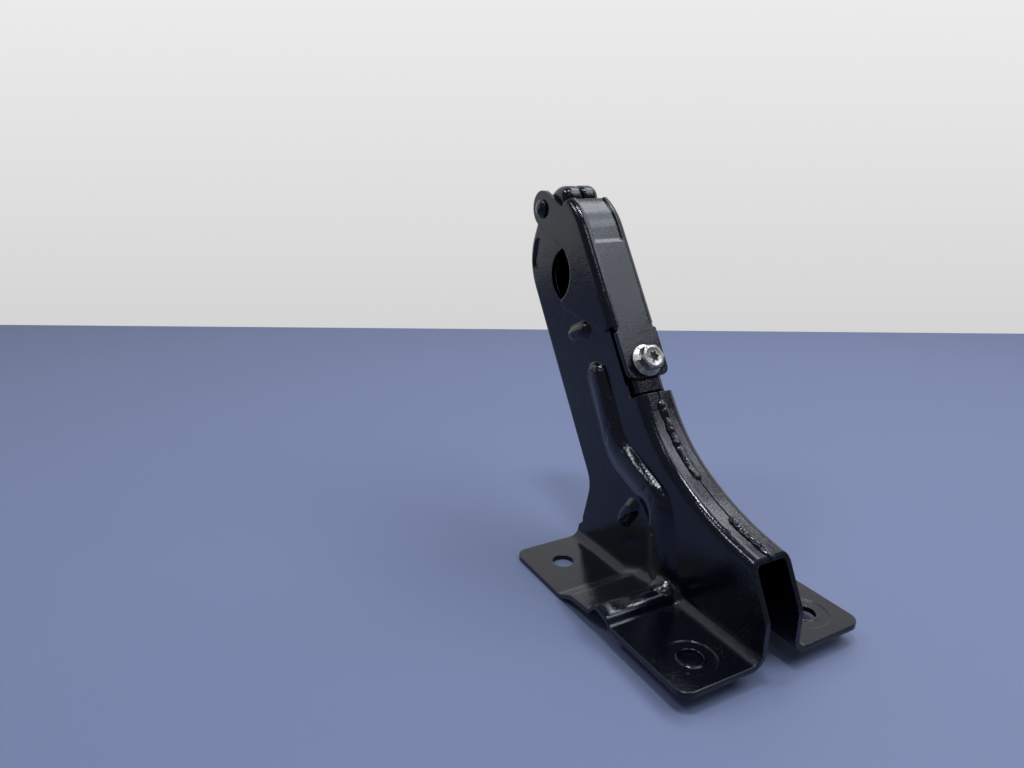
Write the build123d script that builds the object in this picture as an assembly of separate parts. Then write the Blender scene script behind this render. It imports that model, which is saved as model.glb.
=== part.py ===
from build123d import *
from math import acos, atan2, cos, hypot, radians, sin
import os

# Seat backrest bracket. X runs across the seat with the bracket's middle plane at 0,
# Y runs back from the front edge of the feet, and Z runs up from the floor.
# Sizes are in millimetres and angles in degrees. A corner is (y, z, corner radius).

# Overall sizes
sheet = 2.75
foot_half_width = 55.0
foot_length = 145.3
column_half_width = 11.5
lean = 33.0
curl_radius = 5.2
bend_radius = 5.5
seam_gap = 0.8
seam_edge_radius = 2.2

# Feet: front flat, rib across, plateau, then the rear flat that lies on the floor
front_lift = 8.35
front_flat = 52.4
rib_front = 55.4
rib_front_rise = 3.3
rib_back = 64.6
rib_rise = 5.3
plateau_front = 70.6
plateau_front_drop = 1.1
plateau_back = 86.6
plateau_back_drop = 2.7
rear_flat = 97.5
foot_bend_radii = [2.2, 1.8, 2.5, 3.0, 5.0, 6.0]
foot_corner = 7.0
hole_spacing = 71.2
front_hole_inset = 18.1
rear_hole_inset = 21.5
front_hole_diameter = 11.2
rear_hole_diameter = 11.8
pad_diameter = 23.0
pad_depth = 0.35
pad_slope = 50.0
lip_width = 1.0
lip_height = 0.4

# Wall between the foot and the column: its front end and its heel above the rear flat
wall_front_height = 30.5
wall_front_corner = 8.0
nose_y = 12.2
nose_z = 54.2
nose_corner = 4.0
heel_inset = 4.1
heel_height = 16.2
heel_step = 3.0
heel_corner = 1.5
toe_height = 9.5
waist_along = 107.8
waist_radius = 16.0

# Curved front of the column, then its sizes along the lean and out to the front
front_start_height = 41.8
seam_start = (12.6, 55.9)
front_curve_low = (41.5, 61.5, 135.0)
front_curve_high = (79.1, 83.2, 84.0)
rear_edge_out = -90.3
rear_skin_out = -94.2
rear_skin_low = 150.0
seat_low = 141.2
seat_high = 234.0
seat_out = -31.0
seat_high_corner = 6.0
front_bend_along = 240.0
front_bend_out = -25.0
front_bend_corner = 10.0
lip_low = 251.0
lip_bend_along = 252.0
lip_bend_out = -36.4
lip_bend_corner = 4.0
lip_relief = 2.5
lip_relief_width = 4.0
crown_along = 264.8
crown_out = -32.4
crown_radius = 7.0
top_along = 270.5
top_front_out = -41.0
top_rear_out = -61.6
top_corner = 12.0
shoulder_along = 249.9
shoulder_radius = 33.0
pivot_along = 222.2
pivot_out = -56.3
pivot_radius = 15.0
hinge_along = 264.2
hinge_out = -55.8

# Bead that runs down each wall: corners of its foot on the wall and of its narrow crest
bead_height = 3.2
bead_base = [
    (129.6, 115.4, 7), (105.0, 79.0, 16), (64.0, 60.3, 20), (52.0, 2.0, 1),
    (79.0, 2.0, 1), (83.5, 48.0, 14), (119.5, 61.6, 25), (147.5, 110.0, 9),
]
bead_crest = [
    (130.3, 112.4, 0.5), (113.9, 77.8, 26), (74.1, 63.1, 9), (61.8, 2.0, 0.5),
    (64.0, 2.0, 0.5), (76.0, 61.5, 8), (115.5, 76.0, 28), (132.4, 111.4, 0.5),
]

# Round knuckle where the bead runs out over the bend on to the foot's rib
knuckle_radius = 9.0
knuckle_out = 2.0
knuckle_y = 63.0
knuckle_drop = 0.6

# Nubs pressed out of each wall: (y, z), turn and length of each, then their section
upper_nub_place = (151.8, 126.6)
upper_nub_turn = -24.6
upper_nub_length = 22.0
lower_nub_place = (98.3, 39.2)
lower_nub_turn = -54.0
lower_nub_length = 22.5
nub_width = 10.5
nub_height = 2.4

# Dimple pressed into each wall at the column's back
dimple_place = (200.6, 163.8)
dimple_turn = 104.0
dimple_length = 20.0
dimple_width = 9.0
dimple_depth = 1.5
dimple_slope = 35.0

# Strap: front plate, its curve over the column's top, and the flat tab at its lower end
strap_sheet = 2.6
strap_bend_radius = 4.8
strap_out = -24.0
strap_start = 160.0
strap_curve_along = 249.3
strap_curve_radius = 41.0
strap_end = 290.1
strap_end_out = -53.6
strap_top = 256.2
tab_low = 150.3
tab_high = 178.0
tab_step = 1.6
tab_corner = 4.5
relief_radius = 1.7
relief_width = 6.0

# Strap's side flanges: corners as distance along and out, ear and pivot clasp
flange_low_out = -30.8
flange_low_corner = 2.0
flange_rear = (207.0, -65.3, 4.5)
flange_under = (235.5, -48.1)
flange_over = (254.5, -36.8)
flange_over_corner = 1.0
flange_top_out = -34.4
ear_radius = 10.2
clasp_along = 227.5
clasp_out = -62.1
clasp_radius = 16.7

# Panel pressed into the strap's upper part, with a ramp along its lower edge
panel_low = 226.5
panel_ramp = 2.4
panel_depth = 1.0
panel_margin = 0.4

# Rivet
rivet_diameter = 7.0
rivet_head_diameter = 10.8
rivet_head_height = 3.2
rivet_head_rim = 0.8

# Bolt, nut and the bracket that carries the nut
bolt_along = 158.8
bolt_diameter = 8.0
bolt_length = 20.0
bolt_tip_chamfer = 1.0
flange_diameter = 17.2
flange_edge = 1.2
flange_height = 2.4
flange_chamfer = 0.3
hex_across_flats = 12.0
head_height = 7.8
head_chamfer_height = 1.6
head_chamfer_width = 2.6
head_face_inset = 0.6
socket_diameter = 6.4
socket_depth = 3.6
socket_lobes = 6
socket_lobe_reach = 0.8
nut_across_flats = 14.0
nut_height = 6.5
nut_side_gap = 0.1
nut_bracket_sheet = 3.0
nut_bracket_low = 143.2
nut_bracket_high = 174.0
nut_bracket_depth = 18.0
nut_bracket_bend = 2.0
bracket_weld_leg = 2.4
bracket_weld_inset = 6.0

# Seam welds: width, crown and depth, and the stretches they cover along the seam
weld_width = 5.4
weld_crown = 0.9
weld_depth = 1.2
lower_weld_stretch = (0.0, 24.2)
upper_weld_stretch = (51.5, 93.9)

# Clearances: turning pin, pressed pin, parts side by side, bolt in the tab and bracket
running_clearance = 0.05
press_clearance = 0.01
joint_gap = 0.3
tab_hole_clearance = 0.5
bracket_hole_clearance = 0.4

# Values worked out from the sizes above
far = 60.0
along = (sin(radians(lean)), cos(radians(lean)))
out = (-cos(radians(lean)), sin(radians(lean)))
strap_inner_half = column_half_width + joint_gap
strap_half_width = strap_inner_half + strap_sheet
panel_half_width = strap_half_width - strap_bend_radius - panel_margin
tab_half_width = strap_half_width - tab_step
wall_inner = column_half_width - sheet
front_top = front_lift + sheet
front_hole_y = front_hole_inset
rear_hole_y = foot_length - rear_hole_inset
bracket_out = strap_out - strap_sheet - joint_gap


# A place in the side view, given in the column's leaning directions
def lean_point(along_value, out_value):
    y = along_value * along[0] + out_value * out[0]
    z = along_value * along[1] + out_value * out[1]
    return (y, z)


# How far along and out a point lies in the column's leaning directions
def leaning(point):
    along_value = point.Y * along[0] + point.Z * along[1]
    out_value = point.Y * out[0] + point.Z * out[1]
    return (along_value, out_value)


# A closed side outline from corners given as (y, z, corner radius)
def side_outline(corners):
    points = [(y, z) for y, z, _ in corners]
    radii = [radius for _, _, radius in corners]
    return make_face(FilletPolyline(*points, radius=radii, close=True))


# The same with corners given along and out of the leaning column
def lean_outline(corners):
    return side_outline([(*lean_point(a, o), radius) for a, o, radius in corners])


# A solid between two X positions with the given side outline
def across(outline, low_x, high_x):
    return extrude(Plane.YZ.offset(low_x) * outline, high_x - low_x)


# The plane whose Z axis points out of the column's front at a distance along it
def front_plane(along_value, out_value):
    y, z = lean_point(along_value, out_value)
    return Plane((0, y, z), x_dir=(1, 0, 0), z_dir=(0, out[0], out[1]))


def mirrored(solid):
    return mirror(solid, about=Plane.YZ)


# Outline of the column's outer surface in side view, left open behind and below
def column_region():
    return side_outline([
        (-far, front_start_height, 0),
        front_curve_low,
        front_curve_high,
        (*lean_point(front_bend_along, front_bend_out), front_bend_corner),
        (*lean_point(lip_bend_along, lip_bend_out), lip_bend_corner),
        (*lean_point(crown_along, crown_out), crown_radius),
        (*lean_point(top_along, top_front_out), top_corner),
        (*lean_point(top_along, top_rear_out), top_corner),
        (*lean_point(shoulder_along, rear_skin_out), shoulder_radius),
        (*lean_point(rear_skin_low, rear_skin_out), 0),
        (*lean_point(rear_skin_low, rear_skin_out - far), 0),
        (foot_length + 2 * far, -far, 0),
        (-far, -far, 0),
    ])


# Column block of the left half, its skin moved in by the given amount
def column_block(inset):
    region = column_region()
    if inset:
        region = offset(region, amount=-inset, kind=Kind.INTERSECTION)
    wall_x = -column_half_width + inset
    block = across(region, wall_x, far / 2)
    on_wall = block.edges().filter_by(lambda e: abs(e.center().X - wall_x) < 0.01)
    curled = [e for e in on_wall if is_curled(e)]
    return fillet(curled, curl_radius - inset)


# Edges of the column's front, top and back, where its wall curls inwards
def is_curled(edge):
    middle = edge @ 0.5
    along_value, out_value = leaning(middle)
    in_front = middle.Z > front_start_height - 2 * sheet and out_value > pivot_out
    on_top = along_value > pivot_along
    behind = out_value > rear_skin_out - 1 and along_value > rear_skin_low
    return in_front or on_top or behind


# Foot block of the left half with the bend up to its wall, along the foot's own profile
def foot_block(inset):
    path = FilletPolyline(
        (0, -far / 2, front_top),
        (0, front_flat, front_top),
        (0, rib_front, front_top + rib_front_rise),
        (0, rib_back, front_top + rib_rise),
        (0, plateau_front, front_top - plateau_front_drop),
        (0, plateau_back, front_top - plateau_back_drop),
        (0, rear_flat, sheet),
        (0, foot_length + far, sheet),
        radius=foot_bend_radii,
    )
    wall_x = -column_half_width + inset
    radius = bend_radius + inset
    bend_x = -column_half_width - bend_radius
    floor_z = front_top - inset
    wall_z = floor_z + far / 2
    start_y = -far / 2
    corners = [(wall_x, floor_z + radius), (wall_x, wall_z), (far / 2, wall_z),
               (far / 2, floor_z - far), (-2 * far, floor_z - far), (-2 * far, floor_z), (bend_x, floor_z)]
    points = [(x, start_y, z) for x, z in corners]
    sides = [Edge.make_line(a, b) for a, b in zip(points, points[1:])]
    bend = Edge.make_tangent_arc(points[-1], (1, 0, 0), points[0])
    return sweep(Face(Wire(sides + [bend])), path=path, normal=(0, 1, 0))


# Raised bead that runs down the wall and turns towards the foot
def wall_bead(inset):
    base_x = -column_half_width + inset
    low = Plane.YZ.offset(base_x) * side_outline(bead_base)
    high = Plane.YZ.offset(base_x - bead_height) * side_outline(bead_crest)
    return loft([low, high], ruled=True)


# Ball under the skin that makes the knuckle
def knuckle(inset):
    middle = (-column_half_width - knuckle_out, knuckle_y, front_top - knuckle_drop)
    return Pos(*middle) * Sphere(knuckle_radius - inset)


# Round-ended nub that stands out of the wall: a bar and two balls under its skin
def nub(place, length, turn, inset):
    radius = (nub_width ** 2 / 4 + nub_height ** 2) / (2 * nub_height)
    reach = (length - nub_width) / 2
    middle_x = -column_half_width - nub_height + radius
    bar = Rot(0, 90, 0) * Cylinder(radius - inset, 2 * reach)
    for end in (-reach, reach):
        bar += Pos(end, 0, 0) * Sphere(radius - inset)
    plane = Plane((middle_x, *place), x_dir=(0, 1, 0), z_dir=(1, 0, 0))
    return plane * Rot(0, 0, turn) * bar


# Flat-bottomed dimple in the wall, which breaks out at the curl behind
def dimple(inset):
    place = Location((*dimple_place, 0), (0, 0, dimple_turn))
    outline = Plane.YZ.offset(-column_half_width + inset) * place * SlotOverall(dimple_length, dimple_width)
    return extrude(outline, dimple_depth, taper=dimple_slope)


# Everything behind the left half's skin, with the skin moved in by the given amount
def pressed_block(inset):
    body = column_block(inset) + foot_block(inset)
    body += wall_bead(inset)
    body += knuckle(inset)
    body += nub(upper_nub_place, upper_nub_length, upper_nub_turn, inset)
    body += nub(lower_nub_place, lower_nub_length, lower_nub_turn, inset)
    return body - dimple(inset)


# Outline that the pressing is trimmed to in side view
def shell_outline():
    heel_y = foot_length - heel_inset
    return side_outline([
        (0, -sheet, 0),
        (0, wall_front_height, wall_front_corner),
        (nose_y, nose_z, nose_corner),
        (nose_y, nose_z + far, 0),
        (*lean_point(seat_low, 0), 0),
        (*lean_point(seat_low, seat_out), 1.5),
        (*lean_point(seat_high, seat_out), seat_high_corner),
        (*lean_point(lip_low - lip_relief_width, lip_bend_out - lip_relief), lip_relief / 2),
        (*lean_point(lip_low, lip_bend_out - lip_relief), lip_relief / 4),
        (*lean_point(lip_low, 0), 0),
        (*lean_point(top_along + far, 0), 0),
        (*lean_point(top_along + far, rear_skin_out - far), 0),
        (*lean_point(rear_skin_low + 1, rear_skin_out - far), 0),
        (*lean_point(rear_skin_low + 1, rear_edge_out), 0),
        (*lean_point(waist_along, rear_edge_out), waist_radius),
        (heel_y, heel_height, 1),
        (heel_y, heel_height - heel_step, heel_corner),
        (foot_length, toe_height, heel_corner),
        (foot_length, -sheet, 0),
    ])


# Outline of one foot and its half of the column from above
def foot_outline():
    width = foot_half_width - seam_gap / 2
    corner = (Align.MIN, Align.MIN)
    place = Pos(-foot_half_width, 0)
    whole = place * Rectangle(width, foot_length + 2 * far, align=corner)
    foot = place * Rectangle(width, foot_length, align=corner)
    outer = [v for v in foot.vertices() if v.X < -foot_half_width + 1]
    beside = Pos(-3 * far, -far) * Rectangle(3 * far - column_half_width - bend_radius, 5 * far, align=corner)
    return (whole - beside) + fillet(outer, foot_corner)


# Open seat that the seat back's pivot drops into, cut through to the column's front
def seat_cut():
    round_end = Location(lean_point(pivot_along, pivot_out)) * Circle(pivot_radius)
    low = pivot_along - pivot_radius
    high = pivot_along + pivot_radius
    mouth = lean_outline([(low, pivot_out, 0), (high, pivot_out, 0), (high, 0, 0), (low, 0, 0)])
    return across(round_end + mouth, -far, far)


def hinge_hole(radius):
    place = Location(lean_point(hinge_along, hinge_out)) * Circle(radius)
    return across(place, -far, far)


def foot_hole(y, diameter):
    return Pos(-hole_spacing / 2, y, 0) * Cylinder(diameter / 2, far)


# Outer edges along the seam at the column's top and back, which the press rounds over
def seam_edges(shell):
    outer_line = column_region().face().outer_wire()
    return [e for e in shell.edges() if is_seam_edge(e, outer_line)]


def is_seam_edge(edge, outer_line):
    points = [edge @ share for share in (0.1, 0.5, 0.9)]
    if any(abs(p.X + seam_gap / 2) > 0.01 for p in points):
        return False
    along_value, out_value = leaning(points[1])
    on_top = along_value > lip_low - 1 or out_value < rear_skin_out + 1
    return on_top and outer_line.distance_to(Vertex(points[1].Y, points[1].Z, 0)) < 0.05


def left_shell():
    shell = pressed_block(0) - pressed_block(sheet)
    shell = shell & across(shell_outline(), -2 * far, far)
    shell = shell & extrude(Plane.XY.offset(-sheet) * foot_outline(), 5 * far)
    shell = fillet(seam_edges(shell), seam_edge_radius)
    shell -= seat_cut()
    shell -= hinge_hole(rivet_diameter / 2 + press_clearance)
    shell -= foot_hole(front_hole_y, front_hole_diameter)
    shell -= foot_hole(rear_hole_y, rear_hole_diameter)
    pad_floor = Pos(-hole_spacing / 2, front_hole_y, front_top - pad_depth)
    shell -= pad_floor * extrude(Circle(pad_diameter / 2), far / 10, taper=-pad_slope)
    hole = front_hole_diameter / 2
    return shell + pad_floor * extrude(Circle(hole + lip_width) - Circle(hole), lip_height)


# Outline behind the strap's outer side: straight front, then its curve over the column's top
def strap_region(inset):
    region = lean_outline([
        (strap_start, strap_out, 0),
        (strap_curve_along, strap_out, strap_curve_radius),
        (strap_end, strap_end_out, 0),
        (strap_end, rear_skin_out, 0),
        (strap_start, rear_skin_out, 0),
    ])
    return offset(region, amount=-inset, kind=Kind.INTERSECTION) if inset else region


def strap_block(inset):
    half = strap_half_width - inset
    body = across(strap_region(inset), -half, half)
    sides = [e for e in body.edges() if abs(abs(e.center().X) - half) < 0.01]
    front = [e for e in sides if on_strap_front(e)]
    return fillet(front, strap_bend_radius - inset)


def on_strap_front(edge):
    along_value, out_value = leaning(edge @ 0.5)
    return out_value > strap_end_out and strap_start + 1 < along_value < strap_end - 2 * sheet


# Where a line from a point touches a circle, on the side that the sign picks
def touch_point(point, centre, radius, sign):
    away = (point[0] - centre[0], point[1] - centre[1])
    turn = atan2(away[1], away[0]) + sign * acos(radius / hypot(*away))
    return (centre[0] + radius * cos(turn), centre[1] + radius * sin(turn))


# Side outline of the strap's flanges, with an ear round the hinge and a clasp at the pivot
def flange_outline():
    hinge = (hinge_along, hinge_out)
    outline = lean_outline([
        (tab_high, 0, 0),
        (tab_high, flange_low_out, flange_low_corner),
        flange_rear,
        (*flange_under, 0),
        (*touch_point(flange_under, hinge, ear_radius, 1), 0),
        (*touch_point(flange_over, hinge, ear_radius, -1), 0),
        (*flange_over, flange_over_corner),
        (strap_top, flange_top_out, flange_over_corner),
        (strap_top, 0, 0),
    ])
    ear = Location(lean_point(*hinge)) * Circle(ear_radius)
    clasp = Location(lean_point(clasp_along, clasp_out)) * Circle(clasp_radius)
    return outline + ear - clasp


# Shallow panel pressed into the strap's upper part, measured from a skin moved in
def strap_panel(inset):
    skin = strap_region(inset) - strap_region(inset + panel_depth)
    surface = strap_out - inset
    upper = lean_outline([
        (panel_low - panel_ramp, surface + panel_depth, 0),
        (panel_low + panel_ramp, surface - panel_depth, 0),
        (panel_low + panel_ramp, rear_skin_out, 0),
        (strap_end, rear_skin_out, 0),
        (strap_end, surface + panel_depth, 0),
    ])
    return across(skin & upper, -panel_half_width, panel_half_width)


# Flat tab at the strap's lower end that the bolt clamps
def strap_tab():
    low = tab_low - bolt_along
    length = tab_high - tab_low + 0.5
    outline = Pos(0, low) * Rectangle(2 * tab_half_width, length, align=(Align.CENTER, Align.MIN))
    lower = [v for v in outline.vertices() if v.Y < low + 1]
    return extrude(front_plane(bolt_along, strap_out) * fillet(lower, tab_corner), -strap_sheet)


# Small round-ended relief beside the tab, where the flange's bend starts
def tab_relief(side):
    place = Pos(side * tab_half_width, tab_high - bolt_along)
    slot = Circle(relief_radius)
    slot += Pos(side * relief_width / 2, 0) * Rectangle(relief_width, 2 * relief_radius)
    return extrude(front_plane(bolt_along, strap_out + 1) * place * slot, -4 * strap_sheet)


def strap():
    flanges = across(flange_outline(), -far, far)
    body = (strap_block(0) - strap_block(strap_sheet)) & flanges
    body += strap_tab()
    body -= strap_panel(0)
    body += strap_panel(strap_sheet) & flanges
    body -= tab_relief(-1)
    body -= tab_relief(1)
    body -= hinge_hole(rivet_diameter / 2 + running_clearance)
    bolt_hole = Circle(bolt_diameter / 2 + tab_hole_clearance)
    return body - extrude(front_plane(bolt_along, strap_out + 1) * bolt_hole, -4 * strap_sheet)


def hinge_rivet():
    inner = strap_half_width + joint_gap / 2
    y, z = lean_point(hinge_along, hinge_out)
    shank = across(Location((y, z)) * Circle(rivet_diameter / 2), -inner, inner)
    head = rivet_head_diameter / 2
    profile = make_face([
        Line((0, 0), (head, 0)),
        Line((head, 0), (head, rivet_head_rim)),
        TangentArc((0, rivet_head_height), (head, rivet_head_rim), tangent=(1, 0)),
        Line((0, rivet_head_height), (0, 0)),
    ])
    dome = revolve(Plane.XZ * profile, Axis.Z)
    heads = [Plane((side * inner, y, z), x_dir=(0, 1, 0), z_dir=(side, 0, 0)) * dome for side in (-1, 1)]
    return shank + heads[0] + heads[1]


# U-shaped bracket between the walls that carries the weld nut behind the strap's tab
def nut_bracket():
    length = nut_bracket_high - nut_bracket_low
    plane = front_plane((nut_bracket_high + nut_bracket_low) / 2, bracket_out)
    outer = extrude(plane * Rectangle(2 * wall_inner, length), -nut_bracket_depth)
    outer = fillet([e for e in outer.edges() if is_bracket_bend(e)], nut_bracket_bend)
    inner_half = wall_inner - nut_bracket_sheet
    hollow = extrude(plane.offset(-nut_bracket_sheet) * Rectangle(2 * inner_half, length), -far)
    hole = Circle(bolt_diameter / 2 + bracket_hole_clearance)
    return outer - hollow - extrude(front_plane(bolt_along, bracket_out + 1) * hole, -4 * nut_bracket_sheet)


def is_bracket_bend(edge):
    middle = edge.center()
    out_value = leaning(middle)[1]
    return abs(out_value - bracket_out) < 0.01 and abs(abs(middle.X) - wall_inner) < 0.01


def weld_nut():
    plane = front_plane(bolt_along, bracket_out - nut_bracket_sheet)
    room = 2 * (wall_inner - nut_bracket_sheet - nut_side_gap)
    hexagon = RegularPolygon(nut_across_flats / 2, 6, major_radius=False, rotation=30)
    hexagon = hexagon & Rectangle(room, 2 * nut_across_flats)
    return extrude(plane * (hexagon - Circle(bolt_diameter / 2 + running_clearance)), -nut_height)


# Fillet weld between the nut bracket's rear edge and the left wall
def bracket_weld():
    leg = bracket_weld_leg
    section = make_face(Polyline((-wall_inner, 0), (-wall_inner + leg, 0), (-wall_inner, -leg), close=True))
    start = front_plane(nut_bracket_low + bracket_weld_inset, bracket_out - nut_bracket_depth)
    down = Plane(start.origin, x_dir=(1, 0, 0), z_dir=(0, -along[0], -along[1]))
    length = nut_bracket_high - nut_bracket_low - 2 * bracket_weld_inset
    return extrude(down * section, -length)


# Weld bead along the seam on the column's front, over a stretch of its length
def seam_weld(stretch, shell):
    front = FilletPolyline(
        (0, *seam_start),
        (0, *front_curve_low[:2]),
        (0, *front_curve_high[:2]),
        (0, *lean_point(front_bend_along, front_bend_out)),
        radius=[front_curve_low[2], front_curve_high[2]],
    )
    path = front.trim(*[distance / front.length for distance in stretch])
    radius = (weld_width ** 2 / 4 + weld_crown ** 2) / (2 * weld_crown)
    above = Pos(0, -weld_depth) * Rectangle(2 * radius, 2 * radius, align=(Align.CENTER, Align.MIN))
    section = above & Pos(0, weld_crown - radius) * Circle(radius)
    section = Plane(path @ 0, x_dir=(-1, 0, 0), z_dir=path % 0) * section
    left_side = Pos(-far / 2, 0, 0) * Box(far, 10 * far, 10 * far)
    bead = (sweep(section, path=path) & left_side) - shell
    left_half = max(bead.solids(), key=lambda s: s.volume)
    return left_half + mirrored(left_half)


def flange_bolt():
    plane = front_plane(bolt_along, strap_out + joint_gap / 2)
    rim = flange_diameter / 2
    flat = hex_across_flats / 2
    flange = revolve(Plane.XZ * make_face(Polyline(
        (0, 0), (rim - flange_chamfer, 0), (rim, flange_chamfer), (rim, flange_edge),
        (flat, flange_height), (0, flange_height), close=True,
    )), Axis.Z)
    crown = revolve(Plane.XZ * make_face(Polyline(
        (0, 0), (flat + head_chamfer_width - head_face_inset, 0),
        (flat + head_chamfer_width - head_face_inset, head_height - head_chamfer_height),
        (flat - head_face_inset, head_height), (0, head_height), close=True,
    )), Axis.Z)
    head = flange + (extrude(RegularPolygon(flat, 6, major_radius=False), head_height) & crown)
    lobe = socket_diameter / socket_lobes
    socket = Circle(socket_diameter / 2 - lobe * socket_lobe_reach)
    for number in range(socket_lobes):
        place = Rot(0, 0, 360 / socket_lobes * number) * Pos(socket_diameter / 2 - lobe, 0)
        socket += place * Circle(lobe * socket_lobe_reach)
    head -= Pos(0, 0, head_height - socket_depth) * extrude(socket, far)
    shank = extrude(Circle(bolt_diameter / 2), -bolt_length)
    tip = shank.edges().filter_by(GeomType.CIRCLE).sort_by(Axis.Z)[0]
    return plane * (head + chamfer(tip, bolt_tip_chamfer))


# Write one node, moved so that the origin lies between the rear holes on the floor
def save(name, solid):
    whole = (Pos(0, -rear_hole_y, 0) * solid).solids()[0]
    export_step(whole, f"parts/{name}.step")
    print(name, len(solid.solids()), round(whole.volume, 1), whole.is_valid)


os.makedirs("parts", exist_ok=True)
left = left_shell()
weld = bracket_weld()
save("left_shell", left)
save("right_shell", mirrored(left))
save("seam_weld_lower", seam_weld(lower_weld_stretch, left))
save("seam_weld_upper", seam_weld(upper_weld_stretch, left))
save("nut_bracket", nut_bracket())
save("nut_bracket_weld_left", weld)
save("nut_bracket_weld_right", mirrored(weld))
save("weld_nut", weld_nut())
save("hinge_rivet", hinge_rivet())
save("strap", strap())
save("flange_bolt", flange_bolt())
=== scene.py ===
import bpy
import bmesh
import math
from mathutils import Euler, Matrix, Vector, noise


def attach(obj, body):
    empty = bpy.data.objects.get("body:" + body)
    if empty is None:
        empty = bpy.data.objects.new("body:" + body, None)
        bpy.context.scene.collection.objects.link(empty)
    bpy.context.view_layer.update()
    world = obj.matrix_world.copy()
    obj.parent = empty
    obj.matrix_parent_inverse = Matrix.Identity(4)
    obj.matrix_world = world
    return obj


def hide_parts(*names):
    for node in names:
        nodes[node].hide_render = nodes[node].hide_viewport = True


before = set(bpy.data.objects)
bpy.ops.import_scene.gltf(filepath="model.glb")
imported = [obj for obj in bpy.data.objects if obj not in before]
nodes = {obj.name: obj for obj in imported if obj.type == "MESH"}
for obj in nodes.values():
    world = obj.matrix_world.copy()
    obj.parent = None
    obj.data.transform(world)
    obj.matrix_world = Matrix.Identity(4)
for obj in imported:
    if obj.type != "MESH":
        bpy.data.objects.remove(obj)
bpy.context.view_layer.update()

print("frame loaded:", sorted(nodes))

# The column leans back, so places on it are given along the lean and out to its front
column = {
    "lean": math.radians(33.0),
    "originBack": 123.8,  # from the feet's front edge back to the rear holes, in millimetres
}
alongAxis = Vector((0, math.sin(column["lean"]), math.cos(column["lean"])))
outAxis = Vector((0, -math.cos(column["lean"]), math.sin(column["lean"])))


def sidePoint(back, up, across=0.0):  # millimetres from the feet's front edge, result in metres
    return Vector((across, back - column["originBack"], up)) / 1000


def leanPoint(along, out, across=0.0):
    point = alongAxis * along + outAxis * out
    return sidePoint(point.y, point.z, across)


# Small helpers for node trees: a value goes into a socket as a number or as a link
def feed(tree, socket, value):
    if isinstance(value, float):
        socket.default_value = value
    else:
        tree.links.new(value, socket)


def objectPlace(tree):
    return tree.nodes.new("ShaderNodeTexCoord").outputs["Object"]


def addNoise(tree, vector, scale, detail):
    node = tree.nodes.new("ShaderNodeTexNoise")
    tree.links.new(vector, node.inputs["Vector"])
    feed(tree, node.inputs["Scale"], scale)
    feed(tree, node.inputs["Detail"], detail)
    return node.outputs["Fac"]


def addCells(tree, vector, scale):
    node = tree.nodes.new("ShaderNodeTexVoronoi")
    tree.links.new(vector, node.inputs["Vector"])
    feed(tree, node.inputs["Scale"], scale)
    return node.outputs["Distance"]


def addRange(tree, value, source, target):
    node = tree.nodes.new("ShaderNodeMapRange")
    node.inputs["From Min"].default_value, node.inputs["From Max"].default_value = source
    node.inputs["To Min"].default_value, node.inputs["To Max"].default_value = target
    tree.links.new(value, node.inputs["Value"])
    return node.outputs["Result"]


def addMath(tree, operation, *values):
    node = tree.nodes.new("ShaderNodeMath")
    node.operation = operation
    for socket, value in zip(node.inputs, values):
        feed(tree, socket, value)
    return node.outputs[0]


def addColorMix(tree, factor, first, second):
    node = tree.nodes.new("ShaderNodeMix")
    node.data_type = "RGBA"
    node.inputs["A"].default_value = first
    node.inputs["B"].default_value = second
    tree.links.new(factor, node.inputs["Factor"])
    return node.outputs["Result"]


def addAxes(tree):  # the object's own X, Y and Z at each point
    node = tree.nodes.new("ShaderNodeSeparateXYZ")
    tree.links.new(objectPlace(tree), node.inputs["Vector"])
    return node.outputs


# Camera at the photograph's angle
photoView = {
    "place": (-0.23778, -0.31058, 0.22691),
    "turn": 28.457,  # degrees from straight back towards the right
    "down": 17.922,
    "roll": 0.495,
    "lens": 26.172,
    "sensorWidth": 36.0,
    "nearest": 0.01,
}


def makeCamera(view):
    data = bpy.data.cameras.new("photoCamera")
    data.lens = view["lens"]
    data.sensor_width = view["sensorWidth"]
    data.clip_start = view["nearest"]
    camera = bpy.data.objects.new("photoCamera", data)
    bpy.context.scene.collection.objects.link(camera)
    aim = Euler((math.radians(90 - view["down"]), 0, -math.radians(view["turn"]))).to_matrix()
    aim = aim @ Matrix.Rotation(math.radians(view["roll"]), 3, "Z")
    camera.matrix_world = Matrix.Translation(view["place"]) @ aim.to_4x4()
    bpy.context.scene.camera = camera


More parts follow.
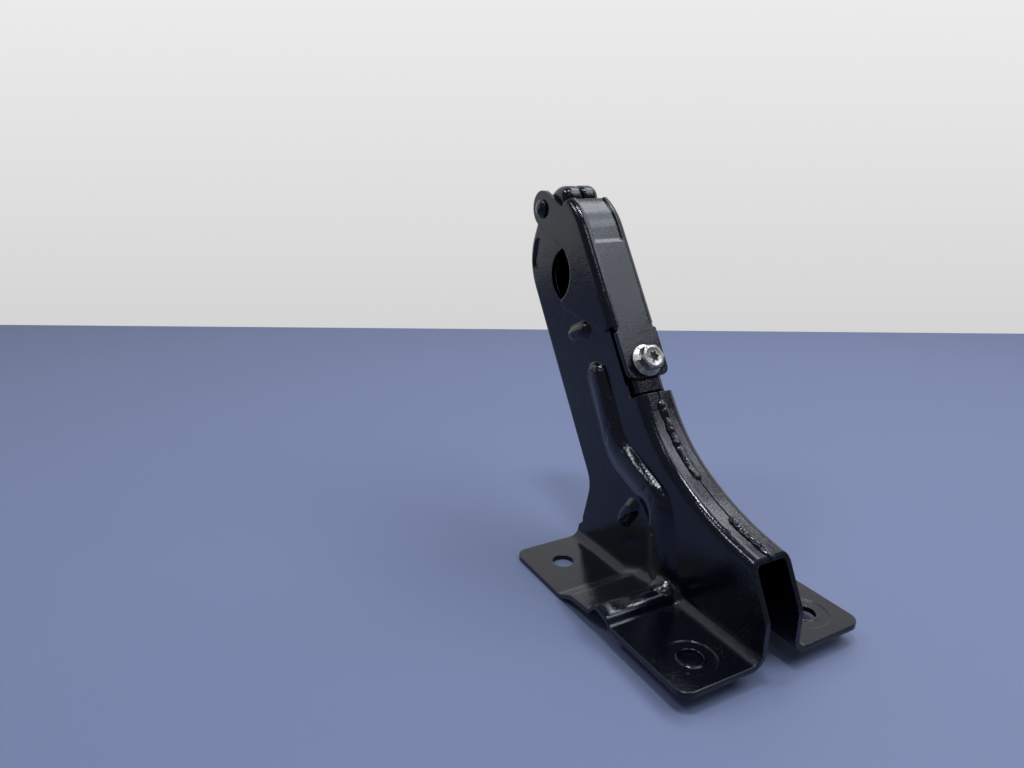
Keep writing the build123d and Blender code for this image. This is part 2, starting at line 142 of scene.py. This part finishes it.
# Table, backdrop and soft lights
studio = {
    "floorColor": (0.160, 0.203, 0.365, 1),
    "floorRoughness": 0.6,
    "wallColor": (0.70, 0.70, 0.70, 1),
    "wallRoughness": 0.9,
    "wallGlow": (0.66, 0.84),  # how bright the wall looks at its foot and from wallGlowTop up
    "wallGlowTop": 0.4,
    "floorReach": 5.0,
    "wallPlace": (0.205, 0.507),  # a point of the wall's foot, in metres
    "wallTurn": -photoView["turn"],  # square to the camera
    "wallHeight": 2.2,
    "worldColor": (0.80, 0.83, 0.88, 1),
    "worldStrength": 0.22,
    "aim": (0, 0, 0.09),
    "lamps": {
        "overheadLamp": {"place": (-0.15, -0.10, 1.40), "size": (0.30, 0.14), "watts": 5.5},
        "ceilingPanel": {"place": (0.50, -0.42, 1.35), "size": (1.10, 0.70), "watts": 7.0},
        "backLamp": {"place": (0.55, 0.22, 0.95), "size": (0.42, 0.36), "watts": 2.0},
        "frontLamp": {"place": (0.69, -0.51, 1.00), "size": (0.50, 0.44), "watts": 1.5},
        "leftLamp": {"place": (-0.42, -0.48, 0.95), "size": (0.26, 0.10), "watts": 0.4},
        "sideLamp": {"place": (-0.60, 0.22, 0.95), "size": (0.22, 0.12), "watts": 1.4},
    },
}


def plainMaterial(name, color, roughness):
    material = bpy.data.materials.new(name)
    material.use_nodes = True
    shader = material.node_tree.nodes["Principled BSDF"]
    shader.inputs["Base Color"].default_value = color
    shader.inputs["Roughness"].default_value = roughness
    return material


# Wall with a painted glow to the camera and in reflections, with painted shade that makes it darker at its
# foot than from wallGlowTop up, and plain paint to the lamps
def makeWallPaint(look):
    material = plainMaterial("wallPaint", look["wallColor"], look["wallRoughness"])
    tree = material.node_tree
    glow = tree.nodes.new("ShaderNodeEmission")
    # painted shade: the glow darkens from wallGlowTop down to the wall's foot
    shade = addRange(tree, addAxes(tree)["Z"], (0.0, look["wallGlowTop"]), look["wallGlow"])
    tree.links.new(shade, glow.inputs["Color"])
    path = tree.nodes.new("ShaderNodeLightPath").outputs
    seen = addMath(tree, "MAXIMUM", path["Is Camera Ray"], path["Is Glossy Ray"])
    seen = addMath(tree, "MAXIMUM", seen, path["Is Transmission Ray"])
    mix = tree.nodes.new("ShaderNodeMixShader")
    tree.links.new(seen, mix.inputs["Fac"])
    tree.links.new(tree.nodes["Principled BSDF"].outputs["BSDF"], mix.inputs[1])
    tree.links.new(glow.outputs["Emission"], mix.inputs[2])
    tree.links.new(mix.outputs["Shader"], tree.nodes["Material Output"].inputs["Surface"])
    return material


def stagePlane(name, corners, material):
    mesh = bpy.data.meshes.new(name)
    mesh.from_pydata(corners, [], [(0, 1, 2, 3)])
    mesh.materials.append(material)
    plane = bpy.data.objects.new(name, mesh)
    bpy.context.scene.collection.objects.link(plane)


def makeStage(look):
    reach = look["floorReach"]
    turn = Matrix.Rotation(math.radians(look["wallTurn"]), 3, "Z")
    foot = Vector((*look["wallPlace"], 0))
    left = foot + turn @ Vector((-reach, 0, 0))
    right = foot + turn @ Vector((reach, 0, 0))
    front = turn @ Vector((0, -2 * reach, 0))
    up = Vector((0, 0, look["wallHeight"]))
    table = plainMaterial("tablePaint", look["floorColor"], look["floorRoughness"])
    wall = makeWallPaint(look)
    stagePlane("tableTop", [left + front, right + front, right, left], table)
    stagePlane("backWall", [left, right, right + up, left + up], wall)


def makeLamp(name, lamp, aim):
    data = bpy.data.lights.new(name, "AREA")
    data.shape = "RECTANGLE"
    data.size, data.size_y = lamp["size"]
    data.energy = lamp["watts"]
    light = bpy.data.objects.new(name, data)
    bpy.context.scene.collection.objects.link(light)
    turn = (Vector(aim) - Vector(lamp["place"])).to_track_quat("-Z", "Y")
    light.matrix_world = Matrix.Translation(lamp["place"]) @ turn.to_matrix().to_4x4()


def makeLights(look):
    for name, lamp in look["lamps"].items():
        makeLamp(name, lamp, look["aim"])
    world = bpy.data.worlds.new("softRoom")
    bpy.context.scene.world = world
    world.use_nodes = True
    back = world.node_tree.nodes["Background"]
    back.inputs["Color"].default_value = look["worldColor"]
    back.inputs["Strength"].default_value = look["worldStrength"]
    bpy.context.scene.view_settings.view_transform = "Standard"


makeCamera(photoView)
makeStage(studio)
makeLights(studio)
print("camera, stage and lights made")


# Orange peel, slow ripple and pinholes of dipped paint, with the dust that settled in it
paintFilm = {
    "inputs": {
        "Peel Scale": 1300.0,
        "Peel Height": 0.7,
        "Ripple Height": 2.0,
        "Pinholes": 0.4,
        "Dust": 0.7,
    },
    "peelDetail": 1.5,
    "ripple": (75.0, 2.0),  # scale and detail
    "cloud": (38.0, 4.0),
    "pinholeScale": 700.0,
    "pinholeReach": 0.16,
    "speckScale": 820.0,
    "speckEdge": (0.16, 0.09),
    "dustyCloud": (0.46, 0.62),
}


def makePaintSurface(look):
    tree = bpy.data.node_groups.new("paintSurface", "ShaderNodeTree")
    for label, value in look["inputs"].items():
        socket = tree.interface.new_socket(label, in_out="INPUT", socket_type="NodeSocketFloat")
        socket.default_value = value
    for label in ("Height", "Dust Mask", "Cloud"):
        tree.interface.new_socket(label, in_out="OUTPUT", socket_type="NodeSocketFloat")
    enter = tree.nodes.new("NodeGroupInput").outputs
    leave = tree.nodes.new("NodeGroupOutput").inputs
    place = objectPlace(tree)
    peel = addNoise(tree, place, enter["Peel Scale"], look["peelDetail"])
    ripple = addNoise(tree, place, *look["ripple"])
    cloud = addNoise(tree, place, *look["cloud"])
    pinhole = addCells(tree, place, look["pinholeScale"])
    pinhole = addRange(tree, pinhole, (0.0, look["pinholeReach"]), (-1.0, 0.0))
    height = addMath(tree, "MULTIPLY", peel, enter["Peel Height"])
    height = addMath(tree, "MULTIPLY_ADD", ripple, enter["Ripple Height"], height)
    height = addMath(tree, "MULTIPLY_ADD", pinhole, enter["Pinholes"], height)
    specks = addRange(tree, addCells(tree, place, look["speckScale"]), look["speckEdge"], (0.0, 1.0))
    patches = addRange(tree, cloud, look["dustyCloud"], (0.0, 1.0))
    dust = addMath(tree, "MULTIPLY", specks, patches)
    dust = addMath(tree, "MULTIPLY", dust, enter["Dust"])
    tree.links.new(height, leave["Height"])
    tree.links.new(dust, leave["Dust Mask"])
    tree.links.new(cloud, leave["Cloud"])
    return tree


paintSurface = makePaintSurface(paintFilm)

# Black dip paint; each paint of a piece changes some of these values
blackPaint = {
    "film": paintFilm["inputs"],
    "color": (0.0012, 0.0018, 0.0060, 1),
    "specularTint": (0.80, 0.87, 1.0, 1),
    "dustColor": (0.20, 0.21, 0.23, 1),
    "roughness": (0.07, 0.15),
    "roughCloud": (0.3, 0.7),
    "dustRoughness": 0.3,
    "edgeRound": 0.00045,
    "formRound": 0.0013,  # for the bead and nubs, which stand out of the walls
    "formStart": (0.0117, 0.0124),  # distances out from the middle plane over which it takes over
    "roundSamples": 6,
    "reliefDepth": 0.00010,
}
strapLook = {
    **blackPaint,
    "film": {"Peel Scale": 1300.0, "Peel Height": 0.6, "Ripple Height": 1.5, "Pinholes": 0.4, "Dust": 0.5},
    "edgeRound": 0.0010,
    "formRound": 0.0010,
}
weldLook = {
    **blackPaint,
    "film": {"Peel Scale": 1700.0, "Peel Height": 0.9, "Ripple Height": 1.0, "Pinholes": 0.5, "Dust": 0.5},
    "edgeRound": 0.00015,
    "formRound": 0.00015,
}


def makePaint(name, look):
    material = bpy.data.materials.new(name)
    material.use_nodes = True
    tree = material.node_tree
    shader = tree.nodes["Principled BSDF"].inputs
    shader["Specular Tint"].default_value = look["specularTint"]
    surface = tree.nodes.new("ShaderNodeGroup")
    surface.node_tree = paintSurface
    for label, value in look["film"].items():
        surface.inputs[label].default_value = value
    dust = surface.outputs["Dust Mask"]
    tree.links.new(addColorMix(tree, dust, look["color"], look["dustColor"]), shader["Base Color"])
    rough = addRange(tree, surface.outputs["Cloud"], look["roughCloud"], look["roughness"])
    rough = addMath(tree, "MULTIPLY_ADD", dust, look["dustRoughness"], rough)
    tree.links.new(rough, shader["Roughness"])
    standing = addMath(tree, "ABSOLUTE", addAxes(tree)["X"])
    radius = addRange(tree, standing, look["formStart"], (look["edgeRound"], look["formRound"]))
    edges = tree.nodes.new("ShaderNodeBevel")
    edges.samples = look["roundSamples"]
    tree.links.new(radius, edges.inputs["Radius"])
    relief = tree.nodes.new("ShaderNodeBump")
    relief.inputs["Strength"].default_value = 1.0
    relief.inputs["Distance"].default_value = look["reliefDepth"]
    tree.links.new(surface.outputs["Height"], relief.inputs["Height"])
    tree.links.new(edges.outputs["Normal"], relief.inputs["Normal"])
    tree.links.new(relief.outputs["Normal"], shader["Normal"])
    return material


pressedPaint = makePaint("pressedBlackPaint", blackPaint)
strapPaint = makePaint("strapBlackPaint", strapLook)
weldPaint = makePaint("weldBlackPaint", weldLook)
print("paints made")


def dress(name, material):
    item = nodes[name]
    item.data.materials.clear()
    item.data.materials.append(material)


# A finished mesh as an object at the origin, smooth but for its sharp edges
def finishPiece(name, mesh, material, sharpAngle):
    mesh.materials.clear()
    mesh.materials.append(material)
    for face in mesh.polygons:
        face.use_smooth = True
        face.material_index = 0
    mesh.set_sharp_from_angle(angle=math.radians(sharpAngle))
    piece = bpy.data.objects.new(name, mesh)
    bpy.context.scene.collection.objects.link(piece)
    return piece


# The shells as pressed: the bead's and nubs' corners flow, as sheet drawn over a punch does
pressedSkin = {
    "wallAcross": 0.0115,  # the walls' outer faces, from the middle plane
    "standOut": 0.00006,  # what lies further out than this belongs to the bead or a nub
    "facingOut": 0.05,  # a bead face's normal points out by more than this
    "floorClear": (0.015, 0.021),  # the flow fades in between these heights
    "longestEdge": 0.0009,
    "cutRounds": 6,
    "mergeGap": 1e-6,
    "beadHeight": 0.0032,
    "domeHeight": 0.0040,
    "domeReach": 1.02,  # share of the bead's height up to which the dome applies; the knuckle is higher
    "flowSteps": 40,
    "flowShare": 0.5,
    "sharpAngle": 180,  # none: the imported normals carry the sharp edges
    "sides": {"left_shell": ("leftShell", -1), "right_shell": ("rightShell", 1)},
}


def riseOf(vert, side, look):  # how far a point stands out of the wall
    return side * vert.co.x - look["wallAcross"]


def onBead(face, side, look):
    floor = look["floorClear"][0]
    if side * face.normal.x <= look["facingOut"] or any(vert.co.z < floor for vert in face.verts):
        return False
    heights = [riseOf(vert, side, look) for vert in face.verts]
    return min(heights) >= -look["standOut"] and max(heights) > look["standOut"]


def cutBeadFine(shape, side, look):
    for _ in range(look["cutRounds"]):
        beadEdges = {edge for face in shape.faces if onBead(face, side, look) for edge in face.edges}
        edges = [edge for edge in shape.edges if edge in beadEdges]
        tooLong = [edge for edge in edges if edge.calc_length() > look["longestEdge"]]
        if not tooLong:
            break
        bmesh.ops.subdivide_edges(shape, edges=tooLong, cuts=1)
        bmesh.ops.triangulate(shape, faces=[face for face in shape.faces if len(face.verts) > 3])
    shape.normal_update()


def raisedPoints(shape, side, look):
    bead = {vert for face in shape.faces if onBead(face, side, look) for vert in face.verts}
    raised = [vert for vert in shape.verts if vert in bead and riseOf(vert, side, look) > look["standOut"]]
    return [vert for vert in raised if vert.co.z > look["floorClear"][0]]


def domePoints(points, side, look):
    for vert in points:
        share = riseOf(vert, side, look) / look["beadHeight"]
        if share <= look["domeReach"] and vert.co.z > look["floorClear"][1]:
            dome = look["domeHeight"] * math.sin(math.pi / 2 * min(share, 1.0))
            vert.co.x = side * (look["wallAcross"] + dome)


def flowPoints(points, look):
    low, high = look["floorClear"]
    for _ in range(look["flowSteps"]):
        places = []
        for vert in points:
            around = [edge.other_vert(vert).co for edge in vert.link_edges]
            middle = sum(around, Vector()) / len(around)
            share = min(max((vert.co.z - low) / (high - low), 0.0), 1.0)
            places.append(vert.co.lerp(middle, look["flowShare"] * share))
        for vert, place in zip(points, places):
            vert.co = place


# Normals of all corners: smooth where the points flowed, as packed everywhere else
def skinNormals(shape, points):
    shape.normal_update()
    shading = shape.loops.layers.float_vector["shading"]
    flowed = set(points)
    for face in shape.faces:
        if flowed.intersection(face.verts):
            for corner in face.loops:
                corner[shading] = corner.vert.normal
    return [corner[shading].normalized() for face in shape.faces for corner in face.loops]


def makePressedSkin(node, name, side, look):
    mesh = nodes[node].data.copy()
    mesh.name = name
    asPacked = [value for corner in mesh.corner_normals for value in corner.vector]
    mesh.attributes.new("shading", "FLOAT_VECTOR", "CORNER").data.foreach_set("vector", asPacked)
    shape = bmesh.new()
    shape.from_mesh(mesh)
    bmesh.ops.remove_doubles(shape, verts=shape.verts, dist=look["mergeGap"])
    shape.normal_update()
    cutBeadFine(shape, side, look)
    points = raisedPoints(shape, side, look)
    domePoints(points, side, look)
    flowPoints(points, look)
    normals = skinNormals(shape, points)
    shape.to_mesh(mesh)
    shape.free()
    mesh.attributes.remove(mesh.attributes["shading"])
    piece = finishPiece(name, mesh, pressedPaint, look["sharpAngle"])
    mesh.normals_split_custom_set(normals)
    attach(piece, "bracket")
    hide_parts(node)
    print(name, "pressed:", len(mesh.polygons), "faces,", len(points), "points flowed")


for name in ("nut_bracket", "weld_nut", "hinge_rivet"):
    dress(name, pressedPaint)
dress("strap", strapPaint)
for name in ("nut_bracket_weld_left", "nut_bracket_weld_right"):
    dress(name, weldPaint)


# Zinc plating: bright steel with a mottled grey bloom and a fine grain
zincPlate = {
    "bright": (0.46, 0.46, 0.455, 1),
    "bloom": (0.20, 0.205, 0.21, 1),
    "cloud": (420.0, 4.0),  # scale and detail
    "bloomCloud": (0.42, 0.66),
    "grain": (2600.0, 2.0),
    "roughness": (0.24, 0.42),
    "roughCloud": (0.35, 0.65),
    "reliefDepth": 0.00002,
}


def makeZinc(look):
    material = bpy.data.materials.new("zincPlate")
    material.use_nodes = True
    tree = material.node_tree
    shader = tree.nodes["Principled BSDF"].inputs
    shader["Metallic"].default_value = 1.0
    place = objectPlace(tree)
    cloud = addNoise(tree, place, *look["cloud"])
    grain = addNoise(tree, place, *look["grain"])
    bloom = addRange(tree, cloud, look["bloomCloud"], (0.0, 1.0))
    tree.links.new(addColorMix(tree, bloom, look["bright"], look["bloom"]), shader["Base Color"])
    rough = addRange(tree, cloud, look["roughCloud"], look["roughness"])
    tree.links.new(rough, shader["Roughness"])
    relief = tree.nodes.new("ShaderNodeBump")
    relief.inputs["Distance"].default_value = look["reliefDepth"]
    tree.links.new(grain, relief.inputs["Height"])
    tree.links.new(relief.outputs["Normal"], shader["Normal"])
    return material


zinc = makeZinc(zincPlate)


# Mesh of closed rings round one axis: each ring is a function that turns an angle into (radius, height)
def ringStack(name, rings, count, mergeGap, toWorld):
    verts, faces = [], []
    for ring in rings:
        for step in range(count):
            angle = 2 * math.pi * step / count
            radius, height = ring(angle)
            verts.append(toWorld(radius * math.cos(angle), radius * math.sin(angle), height))
    for row in range(len(rings) - 1):
        for step in range(count):
            beside = (step + 1) % count
            low, high = row * count, (row + 1) * count
            faces.append((low + step, low + beside, high + beside, high + step))
    faces.append(tuple(reversed(range(count))))
    faces.append(tuple(range((len(rings) - 1) * count, len(rings) * count)))
    mesh = bpy.data.meshes.new(name)
    mesh.from_pydata([tuple(point) for point in verts], [], faces)
    shape = bmesh.new()
    shape.from_mesh(mesh)
    bmesh.ops.remove_doubles(shape, verts=shape.verts, dist=mergeGap)
    bmesh.ops.recalc_face_normals(shape, faces=shape.faces)
    shape.to_mesh(mesh)
    shape.free()
    return mesh


# Flange bolt, sizes in millimetres, heights from the flange's underside
flangeBolt = {
    "along": 158.8,
    "seatOut": -23.85,
    "around": 144,
    "mergeGap": 1e-7,  # in metres
    "sharpAngle": 32,
    "axisRadius": 0.05,
    "diameter": 8.0,
    "length": 20.0,
    "pitch": 1.25,
    "threadDepth": 0.68,
    "threadFlank": (1.35, 0.18),  # steepness of the flanks and width of the flat crest
    "tipChamfer": 1.0,
    "plainShank": 1.2,
    "stepsPerTurn": 8,
    "neckRound": 0.3,
    "flangeRadius": 8.6,
    "flangeEdge": 1.2,
    "flangeRound": 0.35,
    "lowerRound": ((1.0, 0.0), (0.3, 0.3), (0.0, 1.0)),  # inward and up, as shares of flangeRound
    "upperRound": ((0.0, -0.6), (0.25, -0.15), (1.0, 0.1)),
    "coneTop": 2.4,
    "coneRadius": 6.95,
    "coneBlend": (-0.1, 0.15),  # where the cone ends and the hexagon starts, up from coneTop
    "hexFlat": 6.0,
    "hexShares": (0.2, 0.45, 0.7, 0.8, 0.86, 0.91, 0.95, 0.98),
    "headHeight": 7.8,
    "crownSlope": 0.55,
    "crownRadius": 5.5,
    "crownEdge": 0.05,
    "rimWidth": (0.35, 1.1, 1.4),  # inward from the crown: the flat rim's two edges and the dish
    "dishDepth": 0.12,
    "socketRadius": 2.25,
    "socketLobe": 0.54,
    "lobeSharpness": 0.8,
    "socketEdge": 0.14,
    "socketBevel": 0.35,
    "socketDepth": 3.4,
    "socketFloor": (1.3, 0.1, 0.8),  # radius of the cone's top, its start and its depth
}


def circle(radius, height):
    return lambda angle: (radius, height)


def thread(height, look):
    major = look["diameter"] / 2
    steepness, crest = look["threadFlank"]

    def ring(angle):
        share = (height / look["pitch"] - angle / (2 * math.pi)) % 1.0
        flank = abs(2 * share - 1)  # 0 at the crest, 1 at the root
        groove = look["threadDepth"] * min(max(steepness * flank - crest, 0.0), 1.0)
        tip = major - look["tipChamfer"] + (height + look["length"])
        runOut = min(max((-look["plainShank"] - height) / look["pitch"], 0.0), 1.0)
        return min(major - groove * runOut, tip), height
    return ring


def hexagon(height, look):
    def ring(angle):
        turned = (angle % (math.pi / 3)) - math.pi / 6
        flat = look["hexFlat"] / math.cos(turned)
        crown = look["crownRadius"] + (look["headHeight"] - height) / look["crownSlope"]
        return min(flat, crown), height
    return ring


def sixLobes(inset, height, look):
    def ring(angle):
        wave = (0.5 + 0.5 * math.cos(6 * angle)) ** look["lobeSharpness"]
        return look["socketRadius"] - inset + look["socketLobe"] * (2 * wave - 1), height
    return ring


def shankRings(look):
    major = look["diameter"] / 2
    low, top = -look["length"], -look["plainShank"]
    steps = int((top - low) / look["pitch"] * look["stepsPerTurn"]) + 1
    rings = [circle(look["axisRadius"], low)]
    rings += [thread(low + (top - low) * step / steps, look) for step in range(steps + 1)]
    return rings + [circle(major, -look["neckRound"]), circle(major + look["neckRound"], 0.0)]


def flangeRings(look):
    rim = look["flangeRadius"]
    edge = look["flangeRound"]
    top = look["flangeEdge"]
    rings = [circle(rim - inward * edge, up * edge) for inward, up in look["lowerRound"]]
    rings += [circle(rim - inward * edge, top + up * edge) for inward, up in look["upperRound"]]
    return rings + [circle(look["coneRadius"], look["coneTop"] + look["coneBlend"][0])]


def headRings(look):
    low, top = look["coneTop"], look["headHeight"]
    crown = look["crownRadius"]
    rimOuter, rimInner, dish = look["rimWidth"]
    rings = [hexagon(low + look["coneBlend"][1], look)]
    rings += [hexagon(low + share * (top - low), look) for share in look["hexShares"]]
    return rings + [
        circle(crown, top - look["crownEdge"]),
        circle(crown - rimOuter, top),
        circle(crown - rimInner, top),
        circle(crown - dish, top - look["dishDepth"]),
    ]


def socketRings(look):
    top = look["headHeight"] - look["socketEdge"]
    low = look["headHeight"] - look["socketDepth"]
    floorRadius, floorStart, floorDepth = look["socketFloor"]
    return [
        sixLobes(-look["socketBevel"], top, look),
        sixLobes(0.0, top - look["socketBevel"], look),
        sixLobes(0.0, low, look),
        circle(floorRadius, low - floorStart),
        circle(look["axisRadius"], low - floorDepth),
    ]


def makeBolt(look):
    seat = leanPoint(look["along"], look["seatOut"])

    def toWorld(right, upward, height):
        return seat + (Vector((1, 0, 0)) * right + alongAxis * upward + outAxis * height) / 1000

    rings = shankRings(look) + flangeRings(look) + headRings(look) + socketRings(look)
    mesh = ringStack("flangeBolt", rings, look["around"], look["mergeGap"], toWorld)
    bolt = finishPiece("flangeBolt", mesh, zinc, look["sharpAngle"])
    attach(bolt, "bolt")
    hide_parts("flange_bolt")
    print("bolt:", len(mesh.polygons), "faces")


makeBolt(flangeBolt)
for shellNode, (shellName, shellSide) in pressedSkin["sides"].items():
    makePressedSkin(shellNode, shellName, shellSide, pressedSkin)


# A line through corners of (back, up, bend radius), with each corner rounded to its radius
def filletLine(corners, arcSteps):
    points = [Vector(corners[0][:2])]
    for before, corner, after in zip(corners, corners[1:], corners[2:]):
        middle = Vector(corner[:2])
        inward = (Vector(before[:2]) - middle).normalized()
        onward = (Vector(after[:2]) - middle).normalized()
        half = inward.angle(onward) / 2
        cut = corner[2] / math.tan(half)
        start, end = middle + inward * cut, middle + onward * cut
        centre = middle + (inward + onward).normalized() * corner[2] / math.sin(half)
        for step in range(arcSteps + 1):
            share = step / arcSteps
            spoke = (start - centre).lerp(end - centre, share).normalized()
            points.append(centre + spoke * corner[2])
    points.append(Vector(corners[-1][:2]))
    return points


def trimLine(points, low, high):
    kept, travelled = [], 0.0
    for first, second in zip(points, points[1:]):
        length = (second - first).length
        enter = max(low - travelled, 0.0)
        leave = min(high - travelled, length)
        if enter < leave:
            if not kept:
                kept.append(first.lerp(second, enter / length))
            kept.append(first.lerp(second, leave / length))
        travelled += length
    return kept


# Seam welds: line and stretches in millimetres, drops in metres, changes as shares
seamWelds = {
    "line": [(12.6, 55.9, 0.0), (41.5, 61.5, 135.0), (79.1, 83.2, 84.0), (151.67, 187.67, 0.0)],
    "arcSteps": 24,
    "stretches": {
        "lowerSeamWeld": {"node": "seam_weld_lower", "span": (1.2, 23.4), "seed": 5},
        "upperSeamWeld": {"node": "seam_weld_upper", "span": (52.8, 92.6), "seed": 11},
    },
    "drops": {
        "Pitch": 0.0010,
        "Half Width": 0.0026,
        "Crown": 0.0017,
        "Drop Length": 0.0034,
        "Wander": 0.0004,
    },
    "dropRounds": 3,
    "sizeChange": ((0.82, 0.80, 0.75), (1.10, 1.20, 1.20)),
    "placeChange": ((-1.0, -0.3, -0.4), (1.0, 0.3, 0.4)),
    "placeSeedShift": 17.0,
    "voxel": 0.00022,
    "meltSteps": 14,
    "meltShare": 0.5,
    "lumps": [(300.0, 0.00022), (900.0, 0.00006)],  # scale and height
    "sharpAngle": 60,
}


def addChange(tree, limits, seed):
    node = tree.nodes.new("FunctionNodeRandomValue")
    node.data_type = "FLOAT_VECTOR"
    node.inputs["Min"].default_value, node.inputs["Max"].default_value = limits
    tree.links.new(seed, node.inputs["Seed"])
    return node.outputs["Value"]


# Drops of weld metal laid one over another along a line, each a little different
def makeWeldTree(look, material):
    tree = bpy.data.node_groups.new("weldDrops", "GeometryNodeTree")
    addSocket = tree.interface.new_socket
    addSocket("Geometry", in_out="INPUT", socket_type="NodeSocketGeometry")
    for label, value in look["drops"].items():
        addSocket(label, in_out="INPUT", socket_type="NodeSocketFloat").default_value = value
    addSocket("Seed", in_out="INPUT", socket_type="NodeSocketInt")
    addSocket("Geometry", in_out="OUTPUT", socket_type="NodeSocketGeometry")
    make, join = tree.nodes.new, tree.links.new
    enter = make("NodeGroupInput").outputs
    leave = make("NodeGroupOutput").inputs
    resample = make("GeometryNodeResampleCurve")
    resample.mode = "LENGTH"
    join(enter["Geometry"], resample.inputs["Curve"])
    join(enter["Pitch"], resample.inputs["Length"])
    align = make("FunctionNodeAlignRotationToVector")
    align.axis = "Y"
    align.pivot_axis = "X"
    join(make("GeometryNodeInputTangent").outputs["Tangent"], align.inputs["Vector"])
    drop = make("GeometryNodeMeshIcoSphere")
    drop.inputs["Radius"].default_value = 1.0
    drop.inputs["Subdivisions"].default_value = look["dropRounds"]
    size = make("ShaderNodeCombineXYZ")
    join(enter["Half Width"], size.inputs["X"])
    join(enter["Drop Length"], size.inputs["Y"])
    join(enter["Crown"], size.inputs["Z"])
    scale = make("ShaderNodeVectorMath")
    scale.operation = "MULTIPLY"
    join(size.outputs["Vector"], scale.inputs[0])
    join(addChange(tree, look["sizeChange"], enter["Seed"]), scale.inputs[1])
    placeSeed = addMath(tree, "ADD", enter["Seed"], look["placeSeedShift"])
    offset = make("ShaderNodeVectorMath")
    offset.operation = "SCALE"
    join(addChange(tree, look["placeChange"], placeSeed), offset.inputs[0])
    join(enter["Wander"], offset.inputs["Scale"])
    nudge = make("GeometryNodeSetPosition")
    join(resample.outputs["Curve"], nudge.inputs["Geometry"])
    join(offset.outputs["Vector"], nudge.inputs["Offset"])
    lay = make("GeometryNodeInstanceOnPoints")
    join(nudge.outputs["Geometry"], lay.inputs["Points"])
    join(drop.outputs["Mesh"], lay.inputs["Instance"])
    join(align.outputs["Rotation"], lay.inputs["Rotation"])
    join(scale.outputs["Vector"], lay.inputs["Scale"])
    solid = make("GeometryNodeRealizeInstances")
    join(lay.outputs["Instances"], solid.inputs["Geometry"])
    paint = make("GeometryNodeSetMaterial")
    paint.inputs["Material"].default_value = material
    join(solid.outputs["Geometry"], paint.inputs["Geometry"])
    join(paint.outputs["Geometry"], leave["Geometry"])
    return tree


weldTree = makeWeldTree(seamWelds, weldPaint)


def setInputs(modifier, values):
    items = modifier.node_group.interface.items_tree
    sockets = {item.name: item.identifier for item in items if item.in_out == "INPUT"}
    for label, value in values.items():
        modifier[sockets[label]] = value


# The voxel skin round the drops melts into one bead, with low lumps on it
def meltBead(mesh, look):
    shape = bmesh.new()
    shape.from_mesh(mesh)
    everyWay = {"use_axis_x": True, "use_axis_y": True, "use_axis_z": True}
    for _ in range(look["meltSteps"]):
        bmesh.ops.smooth_vert(shape, verts=shape.verts, factor=look["meltShare"], **everyWay)
    shape.to_mesh(mesh)
    shape.free()
    normals = [vert.normal.copy() for vert in mesh.vertices]
    for vert, normal in zip(mesh.vertices, normals):
        lift = sum(noise.noise(vert.co * scale) * height for scale, height in look["lumps"])
        vert.co += normal * lift


def makeSeamWeld(name, weld, look):
    line = trimLine(filletLine(look["line"], look["arcSteps"]), *weld["span"])
    curve = bpy.data.curves.new(name + "Line", "CURVE")
    curve.dimensions = "3D"
    spline = curve.splines.new("POLY")
    spline.points.add(len(line) - 1)
    for point, place in zip(spline.points, line):
        point.co = (*sidePoint(*place), 1)
    carrier = bpy.data.objects.new(name + "Line", curve)
    bpy.context.scene.collection.objects.link(carrier)
    laid = carrier.modifiers.new("weldDrops", "NODES")
    laid.node_group = weldTree
    setInputs(laid, {**look["drops"], "Seed": weld["seed"]})
    melted = carrier.modifiers.new("melted", "REMESH")
    melted.mode = "VOXEL"
    melted.voxel_size = look["voxel"]
    bpy.context.view_layer.update()
    result = carrier.evaluated_get(bpy.context.evaluated_depsgraph_get())
    mesh = bpy.data.meshes.new_from_object(result)
    bpy.data.objects.remove(carrier)
    mesh.name = name
    meltBead(mesh, look)
    piece = finishPiece(name, mesh, weldPaint, look["sharpAngle"])
    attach(piece, "bracket")
    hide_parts(weld["node"])
    print(name, "laid:", len(mesh.polygons), "faces")


for weldName, weld in seamWelds["stretches"].items():
    makeSeamWeld(weldName, weld, seamWelds)
